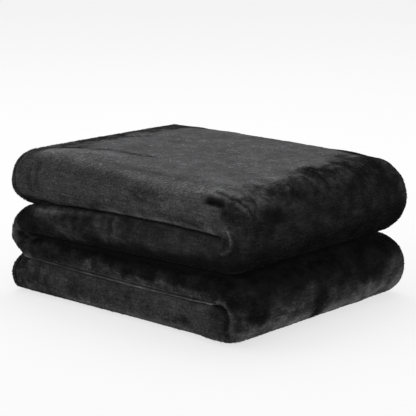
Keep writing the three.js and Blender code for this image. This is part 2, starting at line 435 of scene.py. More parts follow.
# The relief of the cloth, in millimetres: soft troughs (negative) and ridges (positive)
# along lines on its outside. Each row is a name, a height, a width and the line's points.
RELIEF = [
    ("dimple over the front corner", -4.4, 4.4,
     [(106, -124, 133), (112, -124, 133.5), (119, -124, 133), (125, -124, 131.5)]),
    ("crease behind the dimple", -2.8, 2.2, CREASE_BEHIND_DIMPLE),
    ("ridge round the corner", 2.4, 2.6,
     [(128, -122, 132.5), (134, -119, 132.5), (139, -116.5, 130.5), (145, -116, 126)]),
    ("crease beside the ridge", -2.0, 2.0, CREASE_BESIDE_RIDGE),
    ("pinch under the dimple", -1.0, 5.0, [(129, -127, 125), (132, -127, 119), (131, -128, 112)]),
    ("upper arc", 1.8, 1.8,
     [(134, -127, 110), (138, -126, 104), (139.5, -125, 98), (138, -125, 93), (132, -124, 87),
      (122, -123, 83)]),
    ("hollow inside the upper arc", -1.4, 3.4, [(125, -124, 101), (132, -124, 98), (130, -124, 92)]),
    ("lower arc", 2.4, 2.6,
     [(121, -124, 40), (128, -127, 41), (135, -128, 38.5), (140, -127, 32), (142, -126, 25),
      (141, -125, 16), (138, -125, 8)]),
    ("hollow inside the lower arc", -2.8, 3.4,
     [(128, -124, 35), (132, -124, 33), (134, -124, 28), (133, -124, 19)]),
    ("branch of the lower arc", 1.6, 2.0, [(139, -125, 20), (134, -125, 15), (129, -125, 8)]),
    ("pucker on the top run", -1.6, 2.2, [(24, -129, 123), (31, -129, 121), (40, -129, 123)]),
    ("pucker beside it", 1.2, 2.4, [(26, -129, 127), (35, -129, 126), (46, -129, 127)]),
    ("long crease on the top", -0.9, 3.0, LONG_CREASE),
    ("ridge before the long crease", 0.9, 9.0,
     [(-120, -98, 143), (-98, -83, 143), (-76, -76, 143), (-50, -74, 143)]),
    ("crease near the top's back left", -1.6, 4.0, [(-128, 8, 142), (-112, 22, 142), (-96, 46, 142)]),
    ("second crease at the back left", -1.4, 3.0, [(-135, -30, 142), (-120, -8, 142)]),
    ("third crease at the back left", -1.2, 3.0, [(-134, 60, 142), (-112, 84, 142)]),
    ("upright fold in run 2", -1.6, 2.2, [(-13, -122, 99), (-14, -124, 92), (-11, -127, 85)]),
    ("swell beside the upright fold", 0.9, 6.0, [(-4, -122, 98), (-4, -125, 90), (0, -127, 84)]),
    ("second fold in run 2", -1.6, 3.6, [(-62, -122, 92), (-58, -126, 82), (-64, -126, 74)]),
    ("crease at the left fold", -2.4, 2.0,
     [(-149, -123, 69), (-143, -124, 65), (-137, -123, 61), (-128, -122, 58)]),
    ("swell under that crease", 1.8, 4.0, [(-149, -125, 58), (-140, -128, 54)]),
    ("dent in run 4", -1.4, 6.0, [(-64, -127, 16), (-56, -127, 12)]),
    ("second dent in run 4", -1.2, 5.0, [(76, -127, 14), (86, -127, 11)]),
    ("dent in the right end", -1.5, 7.0, [(157, -88, 119), (157, -76, 117)]),
    ("trough down the right end", -1.2, 9.0, [(154, -30, 132), (157, -24, 112), (155, -28, 92)]),
    ("bottom corner", 3.6, 7.0, [(104, -124, 5), (118, -124, 5), (131, -122, 4)]),
    ("drawn-in floor edge at the back", -2.4, 8.0, [(146, 84, 9), (148, 96, 10)]),
    ("drawn-in shoulder at the back", -2.4, 13.0, [(120, 110, 140), (138, 110, 136)]),
    ("full upper left corner", 1.4, 9.0, [(-150, -124, 128), (-147, -115, 136)]),
]

# How light the pile looks, from 0 for black to 1 for its lightest grey. Some rows follow how it is
# brushed,
# and some are painted light and shade: painted sheen on the top, painted shade in the dimple, the dent,
# the hollows, between runs 2 and 3 and under the upper bundle, and painted light along the floor edge.
# Each row is laid over those before it: a name, a tone, how mottled it is, how soft and how
# ragged its edge is, its reach in X, Y and Z round a line, and the line's points.
GROUND_TONE = 0.26
GROUND_MOTTLE = 0.8
PATCHES = [
    # Painted sheen: the top is made lighter for the light that its pile catches from above.
    ("top", 1.08, 0.2, 0.3, 0, (300, 300, 48), [(-60, 0, 160)]),
    ("dull far left edge", 0.92, 0.9, 0.7, 9, (18, 18, 12),
     [(-146, -70, 140), (-146, 20, 140), (-140, 100, 140)]),
    ("dark mark on that edge", 0.7, 0.9, 0.8, 7, (14, 16, 12), [(-138, -62, 141), (-140, -48, 141)]),
    ("second mark", 0.7, 0.9, 0.8, 7, (16, 18, 12), [(-140, -16, 141), (-138, 10, 141)]),
    ("third mark", 0.72, 0.9, 0.8, 7, (14, 20, 12), [(-142, 44, 141), (-138, 72, 141)]),
    ("dark mark at the front left", 0.74, 0.9, 0.8, 6, (12, 14, 8),
     [(-138, -94, 142), (-124, -82, 144), (-116, -70, 144)]),
    ("dark back left corner", 0.62, 0.8, 0.8, 6, (16, 12, 12), [(-136, 98, 140), (-112, 114, 140)]),
    ("front of run 1", 0.66, 0.2, 0.36, 0, (60, 55, 45), [(-220, -150, 112), (40, -150, 112)]),
    ("front of run 1 by the corner", 0.72, 0.2, 0.4, 0, (60, 55, 45), [(70, -150, 100), (130, -140, 90)]),
    ("left end of run 1", 0.7, 0.3, 0.6, 4, (16, 40, 26), [(-152, -126, 116)]),
    ("front of run 2", 0.36, 0.8, 0.4, 6, (30, 40, 18), [(-140, -126, 76), (120, -126, 92)]),
    ("grey above the light fleck", 0.3, 0.7, 0.8, 5, (16, 40, 6), [(-120, -124, 88), (-98, -122, 92)]),
    ("light fleck on run 2, left", 0.5, 0.9, 0.8, 5, (12, 40, 7),
     [(-92, -126, 81), (-82, -126, 76), (-68, -126, 73)]),
    ("grey top of the left fold", 0.4, 0.7, 0.8, 4, (10, 30, 5), [(-134, -123, 87), (-112, -124, 87)]),
    ("light fleck by the left fold", 0.5, 0.7, 0.8, 4, (9, 30, 6), [(-102, -126, 76), (-84, -126, 74)]),
    ("dark left end of run 2", 0.06, 0.6, 0.7, 6, (17, 30, 11), [(-134, -126, 78), (-120, -126, 68)]),
    ("dark between the flecks", 0.16, 0.6, 0.8, 6, (16, 30, 8), [(-58, -126, 94), (-40, -126, 95)]),
    ("light fleck on run 2, middle", 0.52, 0.5, 0.8, 7, (11, 30, 9), [(-26, -126, 90), (3, -126, 80)]),
    ("even right part of run 2", 0.46, 0.35, 0.5, 5, (34, 30, 17), [(44, -126, 90), (104, -126, 92)]),
    ("front of run 3", 0.1, 0.8, 0.4, 5, (30, 40, 14), [(-130, -126, 50), (130, -126, 52)]),
    ("shade between runs 2 and 3", 0.0, 0.2, 0.6, 4, (20, 40, 9),
     [(-36, -126, 63), (14, -126, 64), (58, -126, 65), (108, -126, 69), (140, -126, 68)]),
    ("left end of run 3", 0.3, 0.7, 0.7, 6, (22, 30, 8), [(-128, -126, 50)]),
    ("light edge of the left fold", 0.66, 0.6, 0.6, 3, (8, 14, 10), [(-151, -126, 66), (-149, -128, 54)]),
    ("light flecks on run 3", 0.48, 0.9, 0.8, 6, (15, 30, 6), [(-64, -126, 46), (-16, -126, 45)]),
    ("light flecks farther right", 0.5, 1.0, 0.8, 5, (14, 30, 4), [(6, -126, 42), (44, -126, 41)]),
    ("light flecks near the corner", 0.52, 1.0, 0.8, 4, (14, 30, 4.5), [(57, -126, 42), (104, -126, 43)]),
    ("front of run 4", 0.64, 0.2, 0.3, 3, (40, 40, 20), [(-80, -127, 21), (106, -127, 19)]),
    ("duller left part of run 4", 0.54, 0.4, 0.8, 6, (30, 30, 11), [(-84, -126, 28), (10, -126, 26)]),
    ("dark left end of run 4", 0.48, 0.8, 0.6, 6, (22, 40, 26), [(-150, -126, 22), (-124, -126, 20)]),
    ("darker fleck in run 4", 0.46, 0.6, 0.8, 6, (12, 30, 8), [(-70, -126, 20), (-56, -126, 12)]),
    ("darker spot in run 4", 0.4, 0.6, 0.8, 5, (7, 30, 5), [(78, -126, 13), (86, -126, 10)]),
    ("right end, upper bundle", 0.27, 0.5, 0.12, 18, (100, 270, 200), [(217, 60, 90)]),
    ("darker towards the back", 0.16, 0.6, 0.8, 8, (30, 40, 30), [(156, 84, 112)]),
    ("ragged edge of the light top", 0.6, 1.6, 0.8, 6, (6, 14, 8),
     [(141, -104, 131), (139, -62, 133), (130, -26, 138), (124, 6, 140), (126, 36, 139),
      (121, 76, 141)]),
    ("grey shoulder by the corner", 0.8, 1.1, 0.9, 6, (14, 24, 9), [(142, -106, 129), (140, -66, 131)]),
    ("grey shoulder farther back", 0.5, 1.2, 0.9, 6, (12, 20, 9), [(138, -22, 134), (136, 24, 135)]),
    ("light tongue farther back", 0.72, 0.9, 0.8, 5, (9, 10, 7), [(124, 78, 140), (134, 66, 137)]),
    ("dull place near the back", 0.82, 0.7, 0.8, 5, (8, 12, 8), [(98, 80, 141), (108, 70, 141)]),
    ("cloud on the right end", 0.48, 0.5, 0.9, 8, (20, 20, 9), [(154, -84, 126), (154, -44, 126)]),
    ("second cloud", 0.3, 0.6, 0.9, 8, (20, 18, 10), [(156, 10, 116), (156, 44, 112)]),
    ("dark under the grey shoulder", 0.24, 0.7, 0.8, 5, (10, 18, 7), [(141, -52, 130), (142, -26, 129)]),
    ("dark notch in the light top", 0.5, 0.9, 0.8, 4, (6, 7, 6), [(114, 12, 142), (124, 2, 140)]),
    ("dark farther back", 0.26, 0.7, 0.9, 6, (12, 16, 14), [(144, 76, 131), (149, 82, 122)]),
    # Painted shade in the dent on the right end.
    ("painted shade in the dent on the right end", 0.05, 0.4, 0.8, 4, (12, 9, 6), [(157, -90, 120), (157, -78, 117)]),
    ("dark back edge of the top", 0.4, 0.8, 0.6, 6, (13, 11, 13),
     [(84, 116, 140), (104, 114, 140), (126, 112, 138), (142, 112, 130), (152, 116, 116),
      (156, 118, 100)]),
    # Painted shade under the upper bundle's overhang.
    ("painted shade under the upper bundle", 0.05, 0.3, 0.7, 5, (30, 30, 13),
     [(146, -120, 76), (156, -50, 74), (156, 40, 80), (156, 84, 79)]),
    ("right end, lower bundle", 0.1, 0.4, 0.4, 8, (40, 30, 30), [(160, -90, 44), (160, 120, 50)]),
    ("light right end along the floor", 0.62, 0.6, 0.6, 9, (40, 20, 20),
     [(158, -100, 18), (158, -40, 18), (158, 30, 16), (158, 100, 20)]),
    ("dark above that light", 0.1, 0.4, 0.7, 5, (20, 18, 8), [(157, 50, 37), (157, 70, 38)]),
    ("light floor edge by the corner", 0.74, 0.9, 0.7, 6, (24, 14, 14),
     [(147, -120, 12), (152, -104, 16), (156, -82, 20)]),
    ("light shoulder at the back", 0.56, 0.5, 0.6, 5, (30, 20, 15), [(156, 114, 33), (155, 100, 18)]),
    # Painted light where the cloth curves under to the floor.
    ("painted light along the floor edge", 1.02, 0.6, 0.8, 4, (20, 30, 10.5), [(150, -110, 6), (152, 10, 8)]),
    ("duller painted light farther back along the floor", 0.92, 0.6, 0.8, 4, (20, 20, 11),
     [(152, 44, 8), (152, 96, 9), (153, 112, 14)]),
    ("dark fleck by the floor", 0.08, 0.6, 0.7, 6, (20, 9, 12), [(157, -20, 28), (154, -16, 18)]),
    ("dark beside the lower arc", 0.22, 0.8, 0.8, 5, (9, 9, 11), [(153, -118, 44), (157, -108, 28)]),
    ("light beside the lower arc", 0.36, 0.9, 0.8, 5, (9, 8, 10), [(148, -127, 24), (149, -124, 14)]),
    ("light corner on the floor", 0.84, 0.8, 0.7, 4, (14, 14, 7),
     [(143, -124, 8), (150, -110, 11), (151, -94, 13)]),
    ("end of run 4 in the fold", 0.36, 0.6, 0.7, 4, (12, 20, 14), [(126, -124, 22)]),
    # Painted shade in the corner and the hollows inside the arcs.
    ("painted shade in the corner inside the lower arc", 0.12, 0.2, 0.6, 1, (4, 8, 3),
     [(119, -124, 37), (127, -124, 36.5), (132, -124, 34.5)]),
    ("hollow inside the lower arc", 0.26, 0.4, 0.7, 2, (4, 8, 5), [(134, -124, 24), (132, -124, 14)]),
    ("hollow inside the upper arc", 0.36, 0.3, 0.8, 2, (5, 8, 5), [(130, -124, 98), (130, -124, 92)]),
    ("light bottom corner of run 1", 0.7, 0.3, 0.5, 3, (10, 14, 7), [(114, -126, 108), (124, -126, 107)]),
    ("shade under the dimple", 0.28, 0.7, 0.6, 4, (7, 9, 7), [(132, -124, 126), (137, -125, 120)]),
    # Painted shade in the dimple.
    ("dimple", 0.12, 0.1, 0.5, 1, (5, 6, 4), [(109, -124, 133), (116, -124, 133), (122, -124, 132)]),
]

# Lines along which the pile looks lighter or darker: mostly painted highlights on ridges, rims and edges
# and painted shade in creases and folds; the brush marks are the pile's own. Each row: a name, a tone, a
# width and the points.
STREAKS = [
    # Painted highlights on the ridge before the long crease and along the top's front shoulder.
    ("light streak on the top", 0.12, 9.0,
     [(-120, -100, 142), (-98, -86, 142), (-76, -80, 142), (-50, -77, 142)]),
    ("light shoulder of the top", 0.12, 8.0,
     [(-118, -103, 141), (-60, -108, 141), (0, -116, 139), (50, -121, 136), (92, -124, 133)]),
    ("lighter shoulder by the corner", 0.16, 7.0,
     [(10, -116, 140), (51, -117, 139), (86, -114, 138), (108, -110, 138)]),
    # Painted shade in the creases on the top and behind the dimple.
    ("long crease on the top", -0.42, 3.4, LONG_CREASE),
    ("short crease on the top", -0.36, 4.0, [(-120, 16, 142), (-104, 30, 142)]),
    ("crease behind the dimple", -0.55, 1.8, CREASE_BEHIND_DIMPLE),
    # A painted highlight on the ridge round the corner, painted shade in the crease beside it, painted
    # highlights on the arcs' rims and painted shade along the lower arc's tail.
    ("ridge round the corner", 0.28, 1.8,
     [(126, -122, 133), (134, -119, 132.5), (139, -116.5, 130.5), (145, -116, 126)]),
    ("crease beside the ridge", -0.35, 1.6, CREASE_BESIDE_RIDGE),
    ("upper arc", 0.4, 1.4,
     [(136, -129, 107), (138, -129, 102), (140, -128, 97), (139, -128, 92), (134, -128, 88),
      (127, -127, 85)]),
    ("lower arc", 0.5, 2.0,
     [(120, -125, 40), (126, -128, 42), (132, -129, 41.5), (138, -129, 36), (143, -128, 28)]),
    ("tail of the lower arc", -0.1, 1.6, [(141, -126, 20), (140, -125, 12), (138, -125, 6)]),
    ("branch of the lower arc", 0.12, 1.4, [(139, -125, 20), (134, -125, 15), (128, -125, 8)]),
    # Painted light along the runs' edges: the hem line's highlight, light lifting the shade in the
    # creases between runs, and light by the floor.
    ("lower edge of run 2", 0.14, 1.4, [(-110, -126, 62), (-83, -126, 65), (-41, -126, 66)]),
    ("lower edge of run 3", 0.1, 1.5,
     [(-138, -126, 42), (-104, -126, 41), (-60, -126, 40), (-8, -126, 38), (54, -126, 38),
      (121, -126, 40)]),
    ("lower edge of run 1", 0.34, 4.0,
     [(-140, -122, 91), (-110, -124, 90), (-60, -124, 96), (0, -124, 101), (60, -124, 102),
      (112, -124, 101)]),
    ("upper edge of run 2", 0.07, 3.0, [(-80, -121, 89), (-50, -121, 93), (-10, -121, 96)]),
    ("painted light along the floor edge of run 4", 0.16, 5.0, [(-80, -124, 6), (0, -124, 6), (88, -124, 6)]),
    # Painted shade along the rims at the cut ends and the left fold, and in the crease there, with a
    # painted highlight over that crease.
    ("rim at the left end of run 1", -0.22, 3.0,
     [(-150, -114, 136), (-150, -124, 122), (-150, -126, 110), (-150, -121, 101)]),
    ("rim at the left end of run 4", -0.12, 2.4, [(-151, -127, 26), (-151, -125, 12), (-146, -122, 5)]),
    ("rim at the left fold", -0.2, 2.4, [(-150, -120, 80), (-156, -124, 68)]),
    ("crease at the left fold", -0.08, 2.0, [(-144, -124, 63), (-138, -122, 58), (-131, -122, 56)]),
    ("light line over that crease", 0.3, 1.2, [(-148, -124, 68), (-142, -124, 64), (-137, -122, 61)]),
    # Painted shade in the pucker and the ripples above it.
    ("pucker on the top run", -0.3, 1.5, [(22, -129, 124), (30, -129, 121), (36, -129, 124)]),
    ("ripple above it", -0.16, 1.2, [(8, -128, 129), (22, -128, 130), (36, -128, 129), (50, -128, 128)]),
    ("second ripple", -0.16, 1.2, [(14, -128, 126), (26, -128, 127), (40, -128, 126), (56, -128, 125)]),
    ("third ripple", -0.12, 1.2, [(26, -129, 118), (38, -129, 119), (52, -129, 119)]),
    ("brush mark at the left end", -0.2, 2.6, [(-124, -124, 131), (-126, -128, 120), (-125, -124, 107)]),
    ("second brush mark", -0.16, 2.4, [(-115, -121, 135), (-114, -127, 121), (-112, -125, 109)]),
    # Painted shade in the upright fold, and a painted highlight under the shade between runs 2 and 3.
    ("upright fold in run 2", -0.25, 2.2, [(-14, -122, 99), (-17, -124, 92), (-11, -127, 85)]),
    ("light line under the shade", 0.1, 2.0, [(-138, -124, 60), (-110, -125, 62)]),
]
# The painted highlight on the edge of the cover flap's lip where it shows, how it grows as the lip shows,
# and the painted shade in the hem's sewn groove.
LIP_HIGHLIGHT_TONE = 0.78
LIP_HIGHLIGHT_BY_SHOWN = (0.6, 0.95)
HEM_LINE_PAINTED_SHADE = -0.3

# The soft lumps of the cloth: their sizes and heights. Then the wandering of the patches'
# ragged edges, and of the brushing: sizes of the waves and their shares.
FUZZ = [(60.0, 1.3), (24.0, 0.9), (9.0, 0.45)]
EDGE_WANDER = [(22.0, 1.0), (9.0, 0.6)]
BRUSH_WAVES = 26.0

# How open the outside is at least. Then where the relief and the pile begin and where they
# are whole, by openness, by height above the floor and by distance from a cut end, and
# where the cloth begins to count as level and where it is, by its normal's rise.
OUTER_OPENNESS = 0.35
RELIEF_BY_OPENNESS = (0.25, 0.9)
RELIEF_BY_HEIGHT = (0.5, 8)
RELIEF_BY_END = (0, 4.0)
PILE_BY_OPENNESS = (0.35, 0.75)
PILE_BY_HEIGHT = (2.5, 4)
LEVEL_BY_NORMAL = (0.4, 0.85)

# The rays that tell how open a point lies: how far they start off the cloth, how far they
# reach, how much all but the first lean to a side, to which sides they lean, in radians, and
# the direction that these are counted from, which is hardly any normal's own.
RAY_START = 0.15
RAY_REACH = 14
RAY_LEAN = 0.9
RAY_SIDES = (0.3, 1.87, 3.44, 5.01)
OFF_ALL_NORMALS = (0.3, 0.5, 0.8)

# The pile: short tufts on the cloth's open outside, brushed down the way the nap lies. Each
# row is a piece of pile: its name, the way that its side of the block faces, its tufts for
# each square centimetre, and how upright and how scattered they are. The top has two.
PILE_DEPTH = 0.6
TUFT_LENGTH = 2.6
TUFT_WIDTH = 0.36
TUFT_SIZES = (0.6, 1.15)
TUFT_SEED = 7
BRUSHED_TO = (0.75, 0.66, -0.1)
BRUSH_WANDER = 0.24
PILE_PIECES = [
    ("pile_top_left", (0, 0, 1), 95, 0.12, 0.07),
    ("pile_front", (0, -1, 0), 85, 0.14, 0.2),
    ("pile_right", (1, 0, 0), 85, 0.16, 0.24),
    ("pile_back", (0, 1, 0), 70, 0.14, 0.2),
    ("pile_left", (-1, 0, 0), 65, 0.2, 0.3),
    ("pile_top_right", (0, 0, 1), 95, 0.12, 0.07),
]


# A smooth noise value at each point, for lumps of about the given size. Each offset picks
# another part of the noise, so that two uses of it don't look alike.
def noise_at(points, size, offset):
    shift = Vector((offset, offset * 0.7, -offset))
    return np.array([noise.noise(Vector(p) / size + shift) for p in points.tolist()])


# A smooth wandering of each point in X, Y and Z.
def wander_at(points, size, offset):
    return np.stack([noise_at(points, size, offset + 5 * axis) for axis in range(3)], 1)


# The distance from each point to a line through the given places.
def distance_to_line(points, line):
    line = np.array(line, float)
    best = np.linalg.norm(points - line[0], axis=1)
    for a, b in zip(line[:-1], line[1:]):
        ab = b - a
        t = np.clip((points - a) @ ab / max(ab @ ab, TINY), 0, 1)
        best = np.minimum(best, np.linalg.norm(points - a - t[:, None] * ab, axis=1))
    return best


# A line laid on the surface that a tree holds, with points close together.
def line_on_surface(tree, line):
    laid = []
    for a, b in zip(line[:-1], line[1:]):
        steps = max(1, round(math.dist(a, b) / LINE_STEP))
        laid += [Vector(a).lerp(Vector(b), i / steps) for i in range(steps)]
    laid.append(Vector(line[-1]))
    return [tree.find_nearest(place)[0] for place in laid]


# How close each point is to a line on the surface: 1 on it, fading to 0 past its width.
def nearness_to_line(points, tree, line, width):
    return np.exp(-((distance_to_line(points, line_on_surface(tree, line)) / width) ** 2))


# How open each point lies: 1 on the outside, 0 where another layer covers it.
def openness(points, normals, faces):
    tree = BVHTree.FromPolygons(points.tolist(), faces)
    open_share = np.zeros(len(points))
    side = np.cross(normals, OFF_ALL_NORMALS)
    side /= np.linalg.norm(side, axis=1)[:, None] + TINY
    other = np.cross(normals, side)
    rays = [normals]
    for angle in RAY_SIDES:
        tilted = normals + RAY_LEAN * (math.cos(angle) * side + math.sin(angle) * other)
        rays.append(tilted / np.linalg.norm(tilted, axis=1)[:, None])
    for ray in rays:
        for i, (p, n, d) in enumerate(zip(points.tolist(), normals.tolist(), ray.tolist())):
            start = Vector(p) + RAY_START * Vector(n)
            if tree.ray_cast(start, Vector(d), RAY_REACH)[0] is None:
                open_share[i] += 1 / len(rays)
    return open_share


def add_object(name, data):
    added = bpy.data.objects.new(name, data)
    bpy.context.scene.collection.objects.link(added)
    return added


def point_normals(mesh):
    normals = np.zeros(len(mesh.vertices) * 3, np.float32)
    mesh.vertex_normals.foreach_get("vector", normals)
    return normals.reshape(-1, 3).astype(float)


# The cloth as one closed mesh: its rings joined by quads and an n-gon at each cut end.
def ring_faces(stations, count):
    here = np.arange(count)
    ahead = np.roll(here, -1)
    faces = []
    for i in range(1, stations):
        low = (i - 1) * count
        high = i * count
        faces += np.stack([low + here, low + ahead, high + ahead, high + here], 1).tolist()
    faces.append(here[::-1].tolist())
    faces.append(((stations - 1) * count + here).tolist())
    return faces


# How close each point is to the hem's sewn line, from its distance to the cut end.
def nearness_to_hem_line(from_end):
    return np.exp(-((from_end - HEM_WIDTH) / HEM_GROOVE_WIDTH) ** 2)


# How far the relief, the lumps and the hem's groove lift each point off the even cloth.
def lift_off_even_cloth(points, tree, from_end):
    lift = np.zeros(len(points))
    for _, height, width, line in RELIEF:
        lift += height * nearness_to_line(points, tree, line, width)
    for number, (size, height) in enumerate(FUZZ):
        lift += height * noise_at(points, size, 3.1 * number)
    lift -= PILE_DEPTH
    lift -= HEM_GROOVE_DEPTH * nearness_to_hem_line(from_end)
    return lift


# How light the pile looks at each point, from its brushing and the painted light and shade laid on it,
# and how mottled it is there.
def pile_tone(points, tree, from_end, lip):
    wander = sum(
        share * wander_at(points, size, 10.0 + 20 * number)
        for number, (size, share) in enumerate(EDGE_WANDER)
    )
    tone = np.full(len(points), GROUND_TONE)
    mottle = np.full(len(points), GROUND_MOTTLE)
    for _, patch_tone, patch_mottle, softness, ragged, reach, line in PATCHES:
        scale = np.array(reach, float)
        away = distance_to_line((points + ragged * wander) / scale, np.array(line) / scale)
        share = 1 - smoothstep(away, 1 - softness, 1 + softness)
        tone = lerp(tone, patch_tone, share)
        mottle = lerp(mottle, patch_mottle, share)
    for _, change, width, line in STREAKS:
        tone += change * nearness_to_line(points, tree, line, width)
    # Painted shade along the hem's groove, then the painted highlight on the lip's edge.
    tone += HEM_LINE_PAINTED_SHADE * nearness_to_hem_line(from_end)
    return lerp(tone, LIP_HIGHLIGHT_TONE, lip), mottle


def make_cloth(material):
    rings, from_end, lip = cloth_rings()
    stations, count, _ = rings.shape
    points = rings.reshape(-1, 3)
    from_end = from_end.reshape(-1)
    faces = ring_faces(stations, count)

    even_mesh = bpy.data.meshes.new("even cloth")
    even_mesh.from_pydata(points.tolist(), [], faces)
    normals = point_normals(even_mesh)
    bpy.data.meshes.remove(even_mesh)

    outside = openness(points, normals, faces)
    outer_faces = [face for face in faces if outside[face].min() > OUTER_OPENNESS]
    tree = BVHTree.FromPolygons(points.tolist(), outer_faces)
    lift = lift_off_even_cloth(points, tree, from_end)
    weight = smoothstep(outside, *RELIEF_BY_OPENNESS) * smoothstep(points[:, 2], *RELIEF_BY_HEIGHT)
    weight *= smoothstep(from_end, *RELIEF_BY_END)
    moved = points + normals * (lift * weight)[:, None]

    tone, mottle = pile_tone(points, tree, from_end, lip.reshape(-1))
    mesh = bpy.data.meshes.new("blanket_cloth")
    mesh.from_pydata((moved * MM).tolist(), [], faces)
    mesh.polygons.foreach_set("use_smooth", [True] * len(mesh.polygons))
    level = smoothstep(normals[:, 2], *LEVEL_BY_NORMAL)
    pile_room = smoothstep(outside, *PILE_BY_OPENNESS) * smoothstep(moved[:, 2], *PILE_BY_HEIGHT)
    pile_room *= 1 - lip.reshape(-1)
    for name, values in (("tone", tone), ("mottle", mottle), ("level", level), ("open", pile_room)):
        mesh.attributes.new(name, "FLOAT", "POINT").data.foreach_set("value", values)
    brush = brush_directions(moved, normals)
    mesh.attributes.new("brush", "FLOAT_VECTOR", "POINT").data.foreach_set("vector", brush.ravel())
    piece = mesh.attributes.new("piece", "INT", "FACE")
    piece.data.foreach_set("value", pile_piece_of_faces(mesh))
    mesh.materials.append(material)
    return add_object("blanket_cloth", mesh)


# The direction in which the pile is brushed down at each point, along the surface.
def brush_directions(points, normals):
    along = np.array(BRUSHED_TO) + BRUSH_WANDER * wander_at(points, BRUSH_WAVES, 60.0)
    along -= normals * (along * normals).sum(1)[:, None]
    return along / (np.linalg.norm(along, axis=1)[:, None] + TINY)


# The row of PILE_PIECES that each face of the cloth bears.
def pile_piece_of_faces(mesh):
    facing = np.zeros(len(mesh.polygons) * 3, np.float32)
    middle = np.zeros(len(mesh.polygons) * 3, np.float32)
    mesh.polygons.foreach_get("normal", facing)
    mesh.polygons.foreach_get("center", middle)
    sides = np.array([direction for _, direction, *_ in PILE_PIECES], float)
    piece = (facing.reshape(-1, 3) @ sides.T).argmax(1)
    on_right = middle.reshape(-1, 3)[:, 0] > 0
    return np.where((piece == 0) & on_right, len(PILE_PIECES) - 1, piece)


# Geometry Nodes that set a leaning tuft at each of the points scattered over one side. Some
# nodes have sockets of one name for each kind of value. Those are given by their number.
def pile_tree(material):
    tree = bpy.data.node_groups.new("pile", "GeometryNodeTree")
    nodes = tree.nodes
    for name, kind, value in (
        ("Cloth", "NodeSocketGeometry", None),
        ("Piece", "NodeSocketInt", 0),
        ("Tufts per square metre", "NodeSocketFloat", 0.0),
        ("Tuft length", "NodeSocketFloat", TUFT_LENGTH * MM),
        ("Tuft width", "NodeSocketFloat", TUFT_WIDTH * MM),
        ("Upright share", "NodeSocketFloat", 0.0),
        ("Scatter", "NodeSocketFloat", 0.0),
        ("Seed", "NodeSocketInt", TUFT_SEED),
    ):
        socket = tree.interface.new_socket(name=name, in_out="INPUT", socket_type=kind)
        if value is not None:
            socket.default_value = value
    tree.interface.new_socket(name="Pile", in_out="OUTPUT", socket_type="NodeSocketGeometry")
    inputs = nodes.new("NodeGroupInput").outputs

    def node(kind, links=(), **settings):
        new = nodes.new(kind)
        for name, value in settings.items():
            setattr(new, name, value)
        for socket, value in links:
            if isinstance(value, bpy.types.NodeSocket):
                tree.links.new(value, new.inputs[socket])
            else:
                new.inputs[socket].default_value = value
        return new

    def attribute(name, kind):
        kept = node("GeometryNodeInputNamedAttribute", [("Name", name)], data_type=kind)
        return kept.outputs["Attribute"]

    def vector_math(operation, links):
        return node("ShaderNodeVectorMath", links, operation=operation).outputs["Vector"]

    cone = node("GeometryNodeMeshCone", [
        ("Vertices", 3), ("Radius Top", 0.0), ("Radius Bottom", inputs["Tuft width"]),
        ("Depth", inputs["Tuft length"]),
    ])
    on_piece = node("FunctionNodeCompare", data_type="INT", operation="EQUAL")
    tree.links.new(attribute("piece", "INT"), on_piece.inputs[2])
    tree.links.new(inputs["Piece"], on_piece.inputs[3])
    density = node("ShaderNodeMath", [
        (0, inputs["Tufts per square metre"]), (1, attribute("open", "FLOAT")),
    ], operation="MULTIPLY")
    scattered = node("GeometryNodeDistributePointsOnFaces", [
        ("Mesh", inputs["Cloth"]), ("Selection", on_piece.outputs["Result"]),
        ("Density", density.outputs["Value"]), ("Seed", inputs["Seed"]),
    ])
    random = node("FunctionNodeRandomValue", [
        (0, (-1.0, -1.0, -1.0)), (1, (1.0, 1.0, 1.0)), ("Seed", inputs["Seed"]),
    ], data_type="FLOAT_VECTOR")
    upright = vector_math("SCALE", [(0, scattered.outputs["Normal"]), ("Scale", inputs["Upright share"])])
    astray = vector_math("SCALE", [(0, random.outputs["Value"]), ("Scale", inputs["Scatter"])])
    leaning = vector_math("ADD", [(0, attribute("brush", "FLOAT_VECTOR")), (1, upright)])
    leaning = vector_math("ADD", [(0, leaning), (1, astray)])
    turned = node("FunctionNodeAlignRotationToVector", [("Vector", leaning)], axis="Z")
    size = node("FunctionNodeRandomValue", [
        (2, TUFT_SIZES[0]), (3, TUFT_SIZES[1]), ("Seed", inputs["Seed"]),
    ], data_type="FLOAT")
    tufts = node("GeometryNodeInstanceOnPoints", [
        ("Points", scattered.outputs["Points"]), ("Instance", cone.outputs["Mesh"]),
        ("Rotation", turned.outputs["Rotation"]), ("Scale", size.outputs[1]),
    ])
    joined = node("GeometryNodeRealizeInstances", [("Geometry", tufts.outputs["Instances"])])
    finished = node("GeometryNodeSetMaterial", [("Geometry", joined.outputs["Geometry"])])
    finished.inputs["Material"].default_value = material
    tree.links.new(finished.outputs["Geometry"], nodes.new("NodeGroupOutput").inputs["Pile"])
    return tree


# The pile, a piece for each row of PILE_PIECES.
def make_pile(cloth, material):
    tree = pile_tree(material)
    sockets = {item.name: item.identifier for item in tree.interface.items_tree}
    pieces = []
    for number, (name, _, tufts_per_cm2, upright, scatter) in enumerate(PILE_PIECES):
        piece = add_object(name, cloth.data)
        modifier = piece.modifiers.new("pile", "NODES")
        modifier.node_group = tree
        modifier[sockets["Piece"]] = number
        modifier[sockets["Tufts per square metre"]] = tufts_per_cm2 / (CM * CM)
        modifier[sockets["Upright share"]] = upright
        modifier[sockets["Scatter"]] = scatter
        evaluated = piece.evaluated_get(bpy.context.evaluated_depsgraph_get())
        mesh = bpy.data.meshes.new_from_object(evaluated)
        piece.modifiers.remove(modifier)
        piece.data = mesh
        mesh.name = name
        pieces.append(piece)
    return pieces


def set_inputs(node, values):
    for name, value in values.items():
        node.inputs[name].default_value = value


